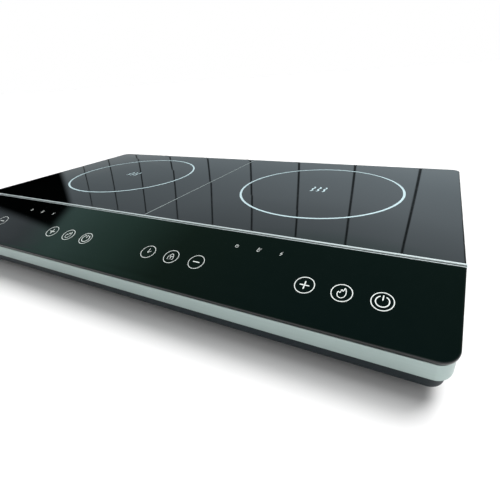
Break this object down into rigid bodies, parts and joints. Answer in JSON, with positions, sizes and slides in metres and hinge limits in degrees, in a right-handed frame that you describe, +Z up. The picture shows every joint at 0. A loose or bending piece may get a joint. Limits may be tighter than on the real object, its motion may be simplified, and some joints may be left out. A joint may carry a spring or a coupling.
{
  "type": "induction cooktop",
  "caption": "Flat portable induction cooktop with a black glass cooking surface, a sloped touch panel, a silver surround and a vented base.",
  "frame": {"origin": "on the table, under the middle of the cooktop", "axes": "+X to the user's right, +Y to the back of the cooktop, +Z up"},
  "size_m": [0.6, 0.348, 0.0625],
  "materials": {
    "black_glass": "polished black glass-ceramic",
    "bright_aluminium": "bright anodised",
    "satin_silver": "satin",
    "grey_silicone": "matt",
    "black_case_plastic": "fine texture",
    "foot_rubber": "matt",
    "gland_rubber": "matt",
    "zinc_steel": "zinc plated",
    "cream_nylon": "moulded",
    "copper_winding": "enamelled copper",
    "copper_litz": "enamelled stranded copper",
    "black_nylon": "moulded",
    "mica": "pressed mica sheet",
    "white_silicone": "soft",
    "green_board": "solder mask on fibreglass",
    "black_epoxy": "moulded",
    "mill_aluminium": "mill finish extrusion",
    "capacitor_grey": "moulded",
    "capacitor_blue": "moulded",
    "ribbon_grey": "flat flexible lead",
    "ferrite": "sintered",
    "display_white": "moulded",
    "glass_fibre_sleeve": "braided",
    "printed_marks": "fired print on glass"
  },
  "bodies": {
    "case": {"cooking_glass": "black_glass", "control_glass": "black_glass", "trim_bead": "bright_aluminium", "surround_frame": "satin_silver", "glass_seal": "grey_silicone", "base_shell": "black_case_plastic", "cord_gland": "gland_rubber", "mains_terminal_block": "cream_nylon", "mains_filter_choke": "copper_winding", "front_left_foot": "foot_rubber", "front_left_case_screw": "zinc_steel", "front_right_foot": "foot_rubber", "front_right_case_screw": "zinc_steel", "rear_left_foot": "foot_rubber", "rear_left_case_screw": "zinc_steel", "rear_right_foot": "foot_rubber", "rear_right_case_screw": "zinc_steel", "left_induction_coil": "copper_litz", "left_coil_former": "black_nylon", "left_mica_disc": "mica", "left_pan_sensor": "white_silicone", "left_fan_frame": "black_nylon", "left_power_board": "green_board", "left_power_transistor": "black_epoxy", "left_bridge_rectifier": "black_epoxy", "left_heatsink": "mill_aluminium", "left_smoothing_capacitor": "capacitor_grey", "left_resonance_capacitor": "capacitor_blue", "left_control_ribbon": "ribbon_grey", "left_ferrite_bar_1": "ferrite", "left_ferrite_bar_2": "ferrite", "left_ferrite_bar_3": "ferrite", "left_ferrite_bar_4": "ferrite", "left_control_board": "green_board", "left_display": "display_white", "left_coil_outer_lead": "glass_fibre_sleeve", "left_coil_inner_lead": "glass_fibre_sleeve", "right_induction_coil": "copper_litz", "right_coil_former": "black_nylon", "right_mica_disc": "mica", "right_pan_sensor": "white_silicone", "right_fan_frame": "black_nylon", "right_power_board": "green_board", "right_power_transistor": "black_epoxy", "right_bridge_rectifier": "black_epoxy", "right_heatsink": "mill_aluminium", "right_smoothing_capacitor": "capacitor_grey", "right_resonance_capacitor": "capacitor_blue", "right_control_ribbon": "ribbon_grey", "right_ferrite_bar_1": "ferrite", "right_ferrite_bar_2": "ferrite", "right_ferrite_bar_3": "ferrite", "right_ferrite_bar_4": "ferrite", "right_control_board": "green_board", "right_display": "display_white", "right_coil_outer_lead": "glass_fibre_sleeve", "right_coil_inner_lead": "glass_fibre_sleeve"},
    "left_fan": {"left_fan_rotor": "black_nylon"},
    "right_fan": {"right_fan_rotor": "black_nylon"}
  },
  "joints": [
    {"name": "left_fan_spin", "type": "hinge", "parent": "case", "child": "left_fan", "pos_m": [-0.15, 0.092, 0.0192], "axis": [0, 0, 1], "continuous": true},
    {"name": "right_fan_spin", "type": "hinge", "parent": "case", "child": "right_fan", "pos_m": [0.15, 0.092, 0.0192], "axis": [0, 0, 1], "continuous": true}
  ]
}
